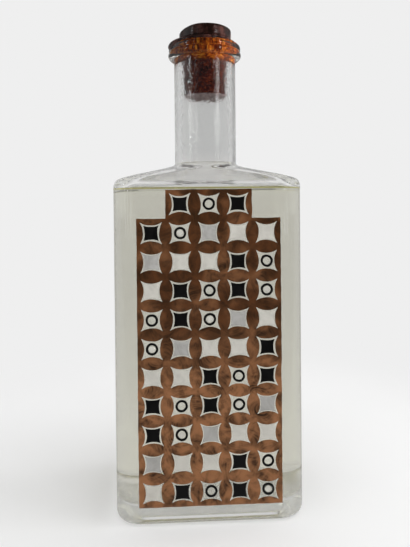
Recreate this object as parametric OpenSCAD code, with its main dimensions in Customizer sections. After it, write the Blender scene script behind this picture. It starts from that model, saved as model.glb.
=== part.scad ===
// Flat-sided spirit bottle of clear moulded glass, half a litre.
// A cork stopper sits in the mouth under a puddled sealing-wax cap, the bottle is
// full of spirit up to the shoulder, and the front face carries a fired enamel pattern.
// Origin: centre of the base, on the surface the bottle stands on.
// +Z is up, the enamelled face looks towards -Y, and X runs along the broad faces.

/* [Glass body] */
// Width of the body
body_w = 84; // [76:1:100]
// Depth of the body, from the enamelled face to the back
body_d = 54; // [50:1:66]
// Height where the upright walls end and the shoulder begins
wall_top = 145.4; // [142:0.2:170]
// Radius of the four upright corners
corner_r = 11.5; // [9:0.5:14]
// Radius of the heel round the foot
heel_r = 3.2; // [2:0.2:5]
// Radius of the edge between walls and shoulder
shoulder_r = 5; // [4:0.5:6.5]
// Rise of the shoulder from the wall top to the root of the neck
shoulder_rise = 11.1; // [9:0.1:15]
// Thickness of the walls
wall = 3; // [2:0.25:3.5]
// Height from the roof of the hollow to the root of the neck outside
shoulder_wall = 1.8; // [1.4:0.1:4]
// Thickness of the glass in the base
base = 6.5; // [5:0.25:9]
// Radius round the foot of the hollow
inner_heel_r = 5; // [3:0.25:6.5]
// Height of the crown in the middle of the inner floor
floor_crown = 1.5; // [0.5:0.1:3]
// Width of the ring that the bottle stands on
foot_ring = 9; // [6:0.5:12]
// Depth of the panel sunk into the underside
foot_recess = 1.2; // [0.5:0.1:2]

/* [Neck and mouth] */
// Outside diameter of the neck
neck_od = 29.3; // [28:0.1:32]
// Bore of the neck below the mouth
neck_bore = 22.8; // [22:0.1:24]
// Radius of the fillet at the root of the neck
root_fillet = 2; // [1:0.25:3]
// Bore of the mouth, which grips the cork
mouth_bore = 21.4; // [20:0.1:21.8]
// Length of the gripping bore
mouth_len = 8.9; // [8:0.1:12]
// Overall height of the glass
glass_h = 213.8; // [205:0.2:235]
// Outside diameter of the lip
lip_od = 34.3; // [33:0.1:38]
// Height of the lip
lip_h = 6.7; // [6:0.1:9]
// Radius of the lip's upper edge
lip_edge_r = 1.6; // [0.8:0.1:2]
// Radius of the bead round the foot of the lip
bead_r = 2; // [1.5:0.1:2.4]
// How far the bead stands out past the lip
bead_out = 0.3; // [0.1:0.1:0.6]

/* [Cork] */
// Length of the cork
cork_len = 25.2; // [18:0.2:30]
// Diameter of the cork's lower end
cork_tip_d = 19.6; // [17:0.2:19.8]
// How much narrower the tapered shank starts than the gripped length
cork_step = 0.2; // [0.1:0.05:0.5]
// Broken edge round the cork's lower end
cork_chamfer = 0.4; // [0.2:0.1:1]
// Running clearance between cork and mouth, on the radius
cork_fit = 0.05; // [0.02:0.01:0.1]

/* [Sealing wax] */
// Diameter of the thick disc of wax
wax_d = 25; // [23:0.5:28]
// Height of the wax above the cork
wax_h = 7.9; // [5:0.1:9]
// Radius of the disc's rim
wax_rim_r = 1.2; // [0.8:0.1:2]
// Diameter of the thin skirt that spread over the lip
skirt_d = 32.4; // [30:0.2:33]
// Thickness of the skirt
skirt_t = 1.3; // [0.8:0.1:2]
// Thickness of the run down the side of the lip
run_t = 0.8; // [0.5:0.1:1.2]
// Width of the run at its top
run_w = 10; // [6:0.5:14]
// How far the run reaches below the top of the skirt
run_drop = 4.2; // [3:0.1:4.6]
// Direction of the run, from +X towards +Y
run_turn = 202; // [180:1:225]

/* [Spirit] */
// Height of the level above the table
spirit_level = 145.3; // [100:0.1:145.3]
// Gap that keeps the spirit's solid clear of the glass
spirit_gap = 0.1; // [0.05:0.01:0.2]

/* [Enamel] */
// Pitch of the interlaced circles
tile = 12.4; // [10:0.1:13]
// Circles across the panel
tile_cols = 5; // [3:2:5]
// Full rows of circles
tile_rows = 10; // [4:1:10]
// Circles in the crest above the full rows
crest_cols = 3; // [1:2:3]
// Height of the panel's lower edge
panel_foot = 8.6; // [6:0.2:12]
// Thickness of the fired enamel
enamel_t = 0.25; // [0.1:0.05:0.4]
// How far the brown petals overlap where they meet
petal_overlap = 0.25; // [0.15:0.05:0.5]
// Bare line left round the white and grey stars
star_gap = 0.45; // [0.3:0.05:0.8]
// Bare line left round the black lozenges and rings
ring_gap = 0.7; // [0.6:0.1:1.4]
// Width of the black rings
ring_w = 1.0; // [0.6:0.1:1.2]

/* [Hidden] */
$fn = 96;

// Overrun that carries a cut clear of the surface it opens
cut = 1;
// Gap between the lip and the wax that lies over it
seat_gap = 0.3;

neck_r = neck_od / 2;
neck_bore_r = neck_bore / 2;
mouth_r = mouth_bore / 2;
lip_r = lip_od / 2;
root_z = wall_top + shoulder_rise;
lip_z = glass_h - lip_h;
grip_z = glass_h - mouth_len;
// Height of the cone between the two bores
bore_step_h = neck_bore_r - mouth_r;

// Cork top stands proud of the glass by the gap under the wax
cork_top = glass_h + seat_gap;
cork_foot = cork_top - cork_len;
grip_r = mouth_r - cork_fit;

skirt_top = cork_top + skirt_t;
wax_top = cork_top + wax_h;
// Narrow throat between skirt and disc
throat_h_share = 0.15;
throat_in_share = 0.05;
// Crown of the disc's top face
wax_crown_share = 0.05;

// The angle at which a line through the neck root touches the shoulder edge,
// measured at the centre of the edge
function touch_a(half, edge, rise, root) =
    atan2(rise, root + edge - half)
    - acos(edge / norm([root + edge - half, rise]));

// Side view of a bottle shape: upright walls, rounded foot and edge, sloping roof
module outline(half, foot, foot_r, edge, rise, root) {
    a = touch_a(half, edge, rise, root);
    touch_x = half - edge + edge * cos(a);
    touch_z = wall_top + edge * sin(a);
    ridge_z = touch_z + touch_x / tan(a);
    translate([foot_r - half, foot])
        square([2 * (half - foot_r), wall_top - foot]);
    translate([-half, foot + foot_r])
        square([2 * half, wall_top - foot - foot_r]);
    for (side = [-1, 1]) {
        translate([side * (half - foot_r), foot + foot_r]) circle(foot_r);
        translate([side * (half - edge), wall_top]) circle(edge);
    }
    polygon([[touch_x, touch_z], [0, ridge_z], [-touch_x, touch_z],
             [edge - half, wall_top], [half - edge, wall_top]]);
}

// Two crossed blocks: a rounded rectangle in plan, without its four corners
module crossed_blocks(w, d, r, h) {
    translate([r - w / 2, -d / 2, 0]) cube([w - 2 * r, d, h]);
    translate([-w / 2, r - d / 2, 0]) cube([w, d - 2 * r, h]);
}

// Places its children at the four corners of a rounded rectangle
module at_corners(w, d, r) {
    for (x = [-1, 1], y = [-1, 1])
        translate([x * (w / 2 - r), y * (d / 2 - r), 0]) children();
}

module rounded_plate(w, d, r, h) {
    crossed_blocks(w, d, r, h);
    at_corners(w, d, r) cylinder(h, r = r);
}

// Trims its children to a bottle shape, as seen from the front and from the side
module trimmed(w, d, foot, foot_r, edge, rise, root) {
    intersection() {
        children();
        rotate([90, 0, 0])
            linear_extrude(d + 2 * cut, center = true)
                outline(w / 2, foot, foot_r, edge, rise, root);
        rotate([90, 0, 90])
            linear_extrude(w + 2 * cut, center = true)
                outline(d / 2, foot, foot_r, edge, rise, root);
    }
}

// Outside of the body: the upright corners are rounded at heel and shoulder too
module body_outside() {
    top = root_z + body_w;
    trimmed(body_w, body_d, 0, heel_r, shoulder_r, shoulder_rise, neck_r) {
        crossed_blocks(body_w, body_d, corner_r, top);
        at_corners(body_w, body_d, corner_r)
            rotate_extrude()
                intersection() {
                    translate([corner_r - body_d / 2, 0])
                        outline(body_d / 2, 0, heel_r, shoulder_r, shoulder_rise, neck_r);
                    square([corner_r, top]);
                }
    }
}

// The hollow of the body; inset keeps a liquid clear of the glass
module hollow(inset = 0) {
    w = body_w - 2 * (wall + inset);
    d = body_d - 2 * (wall + inset);
    foot = base + inset;
    crown_reach = d / 2 - inner_heel_r - heel_r / 2;
    crown_r = (crown_reach * crown_reach + floor_crown * floor_crown) / (2 * floor_crown);
    difference() {
        trimmed(w, d, foot, inner_heel_r - inset, shoulder_r - wall,
                shoulder_rise - shoulder_wall, neck_bore_r)
            rounded_plate(w, d, corner_r - wall - inset, root_z + body_w);
        translate([0, 0, foot + floor_crown - crown_r]) sphere(crown_r, $fn = 180);
    }
}

// Fillet between the neck and the steeper, front and back, slopes of the shoulder
module root_collar() {
    slope = 90 - touch_a(body_d / 2, shoulder_r, shoulder_rise, neck_r);
    reach = root_fillet * tan((90 - slope) / 2);
    rotate_extrude()
        difference() {
            polygon([[neck_bore_r, root_z + reach],
                     [neck_r, root_z + reach],
                     [neck_r + reach * cos(slope), root_z - reach * sin(slope)],
                     [neck_bore_r, root_z - reach * sin(slope)]]);
            translate([neck_r + root_fillet, root_z + reach]) circle(root_fillet);
        }
}

// Lip: an upright band with a rounded upper edge and a bead round its foot
module lip() {
    rotate_extrude() {
        translate([mouth_r, lip_z]) square([lip_r - lip_edge_r - mouth_r, lip_h]);
        translate([mouth_r, lip_z + bead_r])
            square([lip_r - mouth_r, lip_h - lip_edge_r - bead_r]);
        translate([lip_r - lip_edge_r, glass_h - lip_edge_r]) circle(lip_edge_r);
        translate([lip_r + bead_out - bead_r, lip_z + bead_r]) circle(bead_r);
    }
}

module glass_bottle() {
    color([0.86, 0.88, 0.84, 0.45])
        difference() {
            union() {
                body_outside();
                translate([0, 0, wall_top]) cylinder(lip_z + bead_r - wall_top, r = neck_r);
                root_collar();
                lip();
            }
            hollow();
            translate([0, 0, wall_top]) cylinder(grip_z - bore_step_h - wall_top, r = neck_bore_r);
            translate([0, 0, grip_z - bore_step_h])
                cylinder(bore_step_h, r1 = neck_bore_r, r2 = mouth_r);
            translate([0, 0, grip_z]) cylinder(mouth_len + cut, r = mouth_r);
            translate([0, 0, -cut])
                rounded_plate(body_w - 2 * foot_ring, body_d - 2 * foot_ring,
                              corner_r / 2, foot_recess + cut);
        }
}

module spirit() {
    color([0.93, 0.89, 0.62, 0.6])
        intersection() {
            hollow(spirit_gap);
            translate([-body_w / 2, -body_d / 2, 0]) cube([body_w, body_d, spirit_level]);
        }
}

module cork_stopper() {
    tip_r = cork_tip_d / 2;
    color([0.42, 0.24, 0.12])
        rotate_extrude()
            polygon([[0, cork_foot], [tip_r - cork_chamfer, cork_foot],
                     [tip_r, cork_foot + cork_chamfer],
                     [grip_r - cork_step, grip_z - bore_step_h],
                     [grip_r, grip_z], [grip_r, cork_top], [0, cork_top]]);
}

// Upright section of the wax, right of its axis: skirt, throat, disc and crowned top
module wax_section() {
    disc_r = wax_d / 2;
    throat_h = wax_h * throat_h_share;
    crown = wax_h * wax_crown_share;
    flat_r = disc_r - wax_rim_r;
    crown_r = (flat_r * flat_r + crown * crown) / (2 * crown);
    rim_top = wax_top - crown;
    translate([0, cork_top]) square([skirt_d / 2 - skirt_t / 2, skirt_t]);
    translate([skirt_d / 2 - skirt_t / 2, cork_top + skirt_t / 2]) circle(skirt_t / 2);
    translate([0, cork_top]) square([disc_r * (1 - throat_in_share), wax_h - crown - wax_rim_r]);
    translate([0, skirt_top + throat_h])
        square([disc_r, rim_top - wax_rim_r - skirt_top - throat_h]);
    translate([0, skirt_top + throat_h]) square([flat_r, rim_top - skirt_top - throat_h]);
    translate([flat_r, rim_top - wax_rim_r]) circle(wax_rim_r);
    intersection() {
        translate([0, wax_top - crown_r]) circle(crown_r, $fn = 360);
        translate([0, rim_top]) square([flat_r, crown]);
    }
}

// A run of wax over the edge of the lip: a ring round the lip, trimmed to a round tongue
module wax_run() {
    inner_r = lip_r + seat_gap;
    tongue_r = (run_w * run_w / 4 + run_drop * run_drop) / (2 * run_drop);
    intersection() {
        rotate_extrude() {
            translate([inner_r, skirt_top - run_drop - cut])
                square([run_t, run_drop + cut - run_t]);
            translate([skirt_d / 2 - skirt_t, cork_top])
                square([inner_r - skirt_d / 2 + skirt_t, skirt_t]);
            translate([inner_r, skirt_top - run_t]) circle(run_t);
        }
        rotate([0, 0, run_turn])
            translate([0, 0, skirt_top - run_drop + tongue_r])
                rotate([0, 90, 0]) cylinder(lip_od, r = tongue_r);
    }
}

module wax_seal() {
    color([0.13, 0.07, 0.05]) {
        rotate_extrude() wax_section();
        wax_run();
    }
}

// Number of circles in a row, counted from the foot of the panel
function row_cols(row) = row < tile_rows ? tile_cols : crest_cols;
// Centre of a circle, from its column and row
function tile_at(col, row) =
    [(col - (row_cols(row) - 1) / 2) * tile, panel_foot + (row + 0.5) * tile];
// The filling of each star between the circles, which shifts along from row to row
function filling(col, row) = (2 * col + 3 * row) % 7;
// Radius at which circles of this pitch meet corner to corner, with their overlap
circle_r = tile / sqrt(2) + petal_overlap;

// Places a flat enamel shape on the front face
module on_front() {
    translate([0, -body_d / 2, 0])
        rotate([90, 0, 0]) linear_extrude(enamel_t) children();
}

// Star-shaped field that four neighbouring circles leave open, less a bare line
module star(gap) {
    difference() {
        square(tile - 2 * gap, center = true);
        for (a = [0, 90, 180, 270])
            rotate(a) translate([tile, 0]) circle(circle_r + gap);
    }
}

// Puts a shape in every star whose filling is in the list
module in_stars(wanted) {
    for (row = [0 : tile_rows], col = [0 : row_cols(row) - 1])
        if (len(search(filling(col, row), wanted)) > 0)
            translate(tile_at(col, row)) children();
}

module enamel_brown() {
    color([0.44, 0.25, 0.13])
        on_front()
            difference() {
                union() {
                    translate([-tile_cols * tile / 2, panel_foot])
                        square([tile_cols * tile, tile_rows * tile]);
                    translate([-crest_cols * tile / 2, panel_foot])
                        square([crest_cols * tile, (tile_rows + 1) * tile]);
                }
                for (row = [0 : tile_rows], col = [0 : row_cols(row) - 1])
                    translate(tile_at(col, row)) star(0);
            }
}

module enamel_black() {
    outer_r = tile - circle_r - ring_gap;
    color([0.06, 0.05, 0.05])
        on_front() {
            in_stars([1, 4])
                difference() {
                    circle(outer_r);
                    circle(outer_r - ring_w);
                }
            in_stars([2, 6]) star(ring_gap);
        }
}

module enamel_white() {
    dot_r = tile - circle_r - ring_gap - ring_w - star_gap;
    color([0.9, 0.89, 0.86])
        on_front() {
            in_stars([0, 5]) star(star_gap);
            in_stars([1]) circle(dot_r);
        }
}

module enamel_grey() {
    color([0.66, 0.65, 0.62])
        on_front() in_stars([3]) star(star_gap);
}

glass_bottle();
spirit();
cork_stopper();
wax_seal();
enamel_brown();
enamel_black();
enamel_white();
enamel_grey();
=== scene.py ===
"""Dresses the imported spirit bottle: clear moulded glass, spirit, cork, sealing wax and fired enamel.

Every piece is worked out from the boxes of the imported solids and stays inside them. Sizes are in metres,
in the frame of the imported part: +Z up the neck, -Y out of the enamelled face.
"""
import logging
import math
from dataclasses import dataclass, field
from enum import Enum

import bpy
import numpy as np
from mathutils import Matrix, Vector


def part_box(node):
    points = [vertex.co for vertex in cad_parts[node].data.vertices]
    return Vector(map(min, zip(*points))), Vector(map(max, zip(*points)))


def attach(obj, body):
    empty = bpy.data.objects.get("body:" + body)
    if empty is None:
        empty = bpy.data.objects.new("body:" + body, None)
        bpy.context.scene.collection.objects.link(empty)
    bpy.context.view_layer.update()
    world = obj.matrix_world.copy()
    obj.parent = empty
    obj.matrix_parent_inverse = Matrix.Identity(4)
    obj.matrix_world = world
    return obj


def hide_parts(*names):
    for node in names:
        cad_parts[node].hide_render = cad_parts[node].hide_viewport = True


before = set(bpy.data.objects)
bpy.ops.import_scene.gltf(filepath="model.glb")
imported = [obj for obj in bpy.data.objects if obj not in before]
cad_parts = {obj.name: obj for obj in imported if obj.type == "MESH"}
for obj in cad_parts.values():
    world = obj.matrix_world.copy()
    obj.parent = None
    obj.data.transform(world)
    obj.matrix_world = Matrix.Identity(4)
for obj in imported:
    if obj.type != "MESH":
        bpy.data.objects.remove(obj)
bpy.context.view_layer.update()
MM = 0.001
PALE = 0.863
LOG = logging.getLogger("spirit_bottle")
Pair = tuple[float, float]
Colour = tuple[float, float, float]
Place = tuple[float, float, float]
Shares = np.ndarray | float
Material = bpy.types.Material
Node = bpy.types.Node
Outputs = bpy.types.NodeOutputs
Piece = bpy.types.Object
Socket = bpy.types.NodeSocket
Tree = bpy.types.NodeTree


class Sketch:
    """Lays nodes in a node tree and joins them."""

    def __init__(self, tree: Tree) -> None:
        """Keeps the tree that the nodes go in."""
        self.tree = tree

    def node(self, kind: str, *values: object, **named: object) -> Node:
        """Adds a node.

        Args:
            kind: Blender's name of the node.
            values: what goes in its sockets, in order: a socket is joined, None is left alone.
            named: options of the node, in small letters, and what goes in the sockets named with a capital.

        Returns:
            The new node.
        """
        node = self.tree.nodes.new(kind)
        for label, value in named.items():
            if label[0].islower():
                setattr(node, label, value)
        shown = [socket for socket in node.inputs if socket.enabled]
        for socket, value in zip(shown, values):
            self.fill(socket, value)
        self.feed(node, **{label: value for label, value in named.items() if label[0].isupper()})
        return node

    def fill(self, socket: Socket, value: object) -> None:
        """Joins a socket to another one, sets its value, or leaves it alone for None."""
        if isinstance(value, Socket):
            self.tree.links.new(value, socket)
        elif value is not None:
            socket.default_value = value

    def feed(self, node: Node, **values: object) -> None:
        """Fills a node's sockets, named with underscores for spaces."""
        for label, value in values.items():
            self.fill(node.inputs[label.replace("_", " ")], value)

    def get(self, kind: str, *values: object, **named: object) -> Socket:
        """Adds a node and returns its first output in use."""
        node = self.node(kind, *values, **named)
        return next(socket for socket in node.outputs if socket.enabled)

    def math(self, operation: str, *values: object) -> Socket:
        """Adds a calculation with numbers and returns its result."""
        return self.get("ShaderNodeMath", *values, operation=operation)

    def times(self, first: object, second: object) -> Socket:
        """Returns the product of two numbers."""
        return self.math("MULTIPLY", first, second)

    def plus(self, first: object, second: object) -> Socket:
        """Returns the sum of two numbers."""
        return self.math("ADD", first, second)

    def minus(self, first: object, second: object) -> Socket:
        """Returns the first number less the second."""
        return self.math("SUBTRACT", first, second)

    def most(self, first: object, second: object) -> Socket:
        """Returns the larger of two numbers."""
        return self.math("MAXIMUM", first, second)

    def vector(self, operation: str, *values: object) -> Socket:
        """Adds a calculation with vectors and returns its result."""
        return self.get("ShaderNodeVectorMath", *values, operation=operation)

    def here(self) -> Socket:
        """Returns the place on the object that is shaded."""
        return self.node("ShaderNodeTexCoord").outputs["Object"]

    def rays(self) -> Outputs:
        """Returns what is known of the ray that is shaded, by name."""
        return self.node("ShaderNodeLightPath").outputs

    def point(self, *parts: object) -> Socket:
        """Returns the vector of three numbers."""
        return self.get("ShaderNodeCombineXYZ", *parts)

    def axes(self, vector: object) -> Outputs:
        """Returns the parts of a vector, by axis."""
        return self.node("ShaderNodeSeparateXYZ", vector).outputs

    def join(self, *parts: object) -> Socket:
        """Joins pieces of geometry and returns the whole."""
        joined = self.node("GeometryNodeJoinGeometry")
        for part in parts:
            self.tree.links.new(part, joined.inputs[0])
        return joined.outputs[0]

    def blend(self, factor: object, first: object, second: object) -> Socket:
        """Mixes two numbers and returns the result."""
        return self.get("ShaderNodeMix", factor, first, second, data_type="FLOAT")

    def mix(self, factor: object, first: object, second: object, blend: str = "MIX") -> Socket:
        """Mixes two colours and returns the result."""
        pair = [(*colour, 1.0) if isinstance(colour, tuple) else colour for colour in (first, second)]
        return self.get("ShaderNodeMix", factor, *pair, data_type="RGBA", blend_type=blend)

    def span(self, value: object, low: float, high: float, out_low: float = 0.0,
             out_high: float = 1.0, smooth: bool = True) -> Socket:
        """Maps a number from one range to another, held at its ends."""
        kind = "SMOOTHSTEP" if smooth else "LINEAR"
        return self.get("ShaderNodeMapRange", value, low, high, out_low, out_high, interpolation_type=kind)

    def noise(self, where: object, scale: float, detail: float = 2.0, rough: float = 0.5,
              twist: float = 0.0) -> Socket:
        """Adds a noise pattern and returns its value."""
        return self.get("ShaderNodeTexNoise", Vector=where, Scale=scale, Detail=detail, Roughness=rough,
                        Distortion=twist)


class Group:
    """A shader node group with named inputs and outputs, built once and placed in many materials."""

    def __init__(self, name: str, inputs: dict[str, float], outputs: list[str]) -> None:
        """Makes the group and its sockets.

        Args:
            name: name of the group.
            inputs: names and usual values of its number inputs.
            outputs: names of its number outputs.
        """
        self.tree = bpy.data.node_groups.new(name, "ShaderNodeTree")
        for label, value in inputs.items():
            socket = self.tree.interface.new_socket(label, in_out="INPUT", socket_type="NodeSocketFloat")
            socket.default_value = value
        for label in outputs:
            self.tree.interface.new_socket(label, in_out="OUTPUT", socket_type="NodeSocketFloat")
        self.sketch = Sketch(self.tree)
        self.inner = self.tree.nodes.new("NodeGroupInput")
        self.outer = self.tree.nodes.new("NodeGroupOutput")

    def place(self, sketch: Sketch, **values: object) -> Node:
        """Places the group in a material's tree and returns its node."""
        return sketch.node("ShaderNodeGroup", node_tree=self.tree, **values)


def scaled(colour: Colour, by: float) -> tuple[float, ...]:
    """Returns a colour made darker or lighter."""
    return tuple(by * c for c in colour)


def placed(name: str, data: bpy.types.ID) -> Piece:
    """Adds an object to the scene and returns it."""
    piece = bpy.data.objects.new(name, data)
    bpy.context.scene.collection.objects.link(piece)
    return piece


def drawn(name: str, points: list, faces: list) -> Piece:
    """Adds an object made of points and faces, and returns it."""
    mesh = bpy.data.meshes.new(name)
    mesh.from_pydata(points, [], faces)
    return placed(name, mesh)


def growth(name: str, numbers: tuple[str, ...]) -> tuple[Sketch, Outputs]:
    """Starts a geometry tree that takes a mesh, named numbers and a seed, and gives a mesh.

    Args:
        name: name of the tree.
        numbers: names of its number inputs.

    Returns:
        The sketch of the tree and the tree's inputs.
    """
    tree = bpy.data.node_groups.new(name, "GeometryNodeTree")
    taken = [("Geometry", "Geometry"), *((label, "Float") for label in numbers), ("Seed", "Int")]
    for label, kind in taken:
        tree.interface.new_socket(label, in_out="INPUT", socket_type="NodeSocket" + kind)
    tree.interface.new_socket("Geometry", in_out="OUTPUT", socket_type="NodeSocketGeometry")
    s = Sketch(tree)
    return s, s.node("NodeGroupInput").outputs


def brushwork_group() -> Group:
    """Builds the effect of paint laid on with a brush: patches, streaks and a fine grain."""
    group = Group("Brushwork", {"Patch Scale": 120.0, "Streak Scale": 500.0, "Streak Length": 5.0},
                  ["Patches", "Streaks", "Height"])
    s, use = group.sketch, group.inner.outputs
    where = s.here()
    patches = s.noise(where, use["Patch Scale"], 4.0, 0.62, 0.6)
    turned = s.get("ShaderNodeVectorRotate", where, (0.0, 0.0, 0.0), (0.0, 1.0, 0.0),
                   s.times(s.noise(where, 45.0, 1.0), 3.0))
    combed = s.vector("MULTIPLY", turned, s.point(use["Streak Length"], 1.0, 1.0))
    streaks = s.noise(combed, use["Streak Scale"], 2.0, 0.6)
    joined = s.plus(s.times(patches, 0.4), s.times(streaks, 0.6))
    s.feed(group.outer, Patches=s.span(patches, 0.34, 0.66), Streaks=s.span(streaks, 0.3, 0.7), Height=joined)
    return group


def ripple_group() -> Group:
    """Builds the effect of a surface that set unevenly, as moulded glass and poured wax do."""
    group = Group("Ripple", {"Broad Scale": 80.0, "Fine Scale": 400.0, "Fine Share": 0.3}, ["Height"])
    s, use = group.sketch, group.inner.outputs
    where = s.here()
    broad = s.noise(where, use["Broad Scale"], 2.0, 0.5, 0.4)
    fine = s.noise(where, use["Fine Scale"], 2.0, 0.5)
    s.feed(group.outer, Height=s.plus(broad, s.times(fine, use["Fine Share"])))
    return group


class Finish:
    """What every finish shares: a material with one Principled shader that ends its tree."""

    def begin(self, name: str, **plain: object) -> tuple[Material, Sketch, Node]:
        """Makes a material.

        Args:
            name: name of the material.
            plain: plain values of the shader's sockets, with underscores for spaces.

        Returns:
            The material, its sketch and its Principled shader.
        """
        material = bpy.data.materials.new(name)
        material.use_nodes = True
        sketch, shader = Sketch(material.node_tree), material.node_tree.nodes["Principled BSDF"]
        sketch.feed(shader, **plain)
        return material, sketch, shader

    def bump(self, sketch: Sketch, shader: Node, height: object, distance: float) -> None:
        """Feeds a height into the shader's normal."""
        bump = sketch.get("ShaderNodeBump", Height=height, Distance=distance, Strength=1.0)
        sketch.feed(shader, Normal=bump)

    def absorb(self, sketch: Sketch, colour: Colour, density: float) -> None:
        """Dims and tints light along its way inside a clear piece."""
        volume = sketch.get("ShaderNodeVolumeAbsorption", (*colour, 1.0), density)
        sketch.feed(sketch.tree.nodes["Material Output"], Volume=volume)

    def let_light_by(self, sketch: Sketch, shader: Node, share: float) -> None:
        """Lets through a share of the light that shades or fills other pieces, and all trapped light."""
        rays = sketch.rays()
        passing = sketch.most(rays["Is Shadow Ray"], rays["Is Diffuse Ray"])
        trapped = sketch.span(rays["Glossy Depth"], 2.0, 4.0, smooth=False)
        through = sketch.most(sketch.times(passing, share), trapped)
        sketch.feed(shader, Alpha=sketch.minus(1.0, through))


@dataclass(frozen=True)
class ClearGlass(Finish):
    """Clear, slightly grey moulded glass, with a hammered skin on the neck."""

    neck_tint: Colour = (0.795, 0.797, 0.793)
    body_tint: Colour = (0.845, 0.842, 0.838)
    depth_tint: Colour = (0.55, 0.60, 0.35)
    density: float = 2.5
    ior: float = 1.52
    mid_shade: float = 0.945
    mid_start: Pair = (0.03, 0.105)
    mid_end: Pair = (0.128, 0.138)
    mid_rest: float = 0.35
    neck_start: Pair = (0.158, 0.164)
    lip_start: Pair = (0.2071, 0.2091)
    hammered: Pair = (2.4, 0.3)
    relief: float = 0.05 * MM
    stipple: float = 0.25
    stipple_end: Pair = (1.6 * MM, 2.2 * MM)
    light_share: float = 0.72

    def material(self, ripple: Group) -> Material:
        """Builds the material from the shared ripple: a smooth body, and a neck with small dents."""
        material, s, shader = self.begin("clear_glass", Roughness=0.0, IOR=self.ior, Transmission_Weight=1.0)
        high = s.axes(s.here())["Z"]
        neck = s.span(high, *self.neck_start)
        middle = s.times(s.span(high, *self.mid_start), s.span(high, *self.mid_end, 1.0, self.mid_rest))
        body = s.mix(middle, self.body_tint, scaled(self.body_tint, self.mid_shade))
        s.feed(shader, Base_Color=s.mix(neck, body, self.neck_tint),
               Roughness=s.span(high, *self.stipple_end, self.stipple, 0.0))
        beaten = s.times(neck, s.span(high, *self.lip_start, *self.hammered))
        soft = ripple.place(s, Broad_Scale=110.0, Fine_Scale=420.0, Fine_Share=0.1).outputs["Height"]
        dents = ripple.place(s, Broad_Scale=420.0, Fine_Scale=900.0, Fine_Share=0.8).outputs["Height"]
        self.bump(s, shader, s.plus(soft, s.times(dents, beaten)), self.relief)
        self.absorb(s, self.depth_tint, self.density)
        self.let_light_by(s, shader, self.light_share)
        return material


@dataclass(frozen=True)
class PaleSpirit(Finish):
    """Clear pale yellow spirit, with an olive painted shade on the band where its edge climbs the glass and
    leads light along.
    """

    level: float
    # painted shade: the olive colour of the band where the spirit's edge climbs the glass
    rim: Colour = (0.60, 0.56, 0.15)
    painted_waterline_start: Pair = (0.02 * MM, 0.08 * MM)
    tint: Colour = (0.99, 0.99, 0.985)
    swirl_scale: float = 30.0
    swirl_shade: float = 0.985
    depth_tint: Colour = (0.93, 0.87, 0.27)
    density: float = 4.0
    ior: float = 1.36
    light_share: float = 0.95

    def material(self) -> Material:
        """Builds the material: a faint swirl where the spirit is denser, and the rim."""
        material, s, shader = self.begin("pale_spirit", Roughness=0.0, IOR=self.ior, Transmission_Weight=1.0)
        where = s.here()
        swirl = s.noise(where, self.swirl_scale, 1.0)
        colour = s.mix(swirl, self.tint, scaled(self.tint, self.swirl_shade))
        # painted shade: olive on the thin band just above the level
        painted_waterline_band = s.span(s.axes(where)["Z"], *(self.level + height for height in self.painted_waterline_start))
        s.feed(shader, Base_Color=s.mix(painted_waterline_band, colour, self.rim))
        self.absorb(s, self.depth_tint, self.density)
        self.let_light_by(s, shader, self.light_share)
        return material


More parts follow.
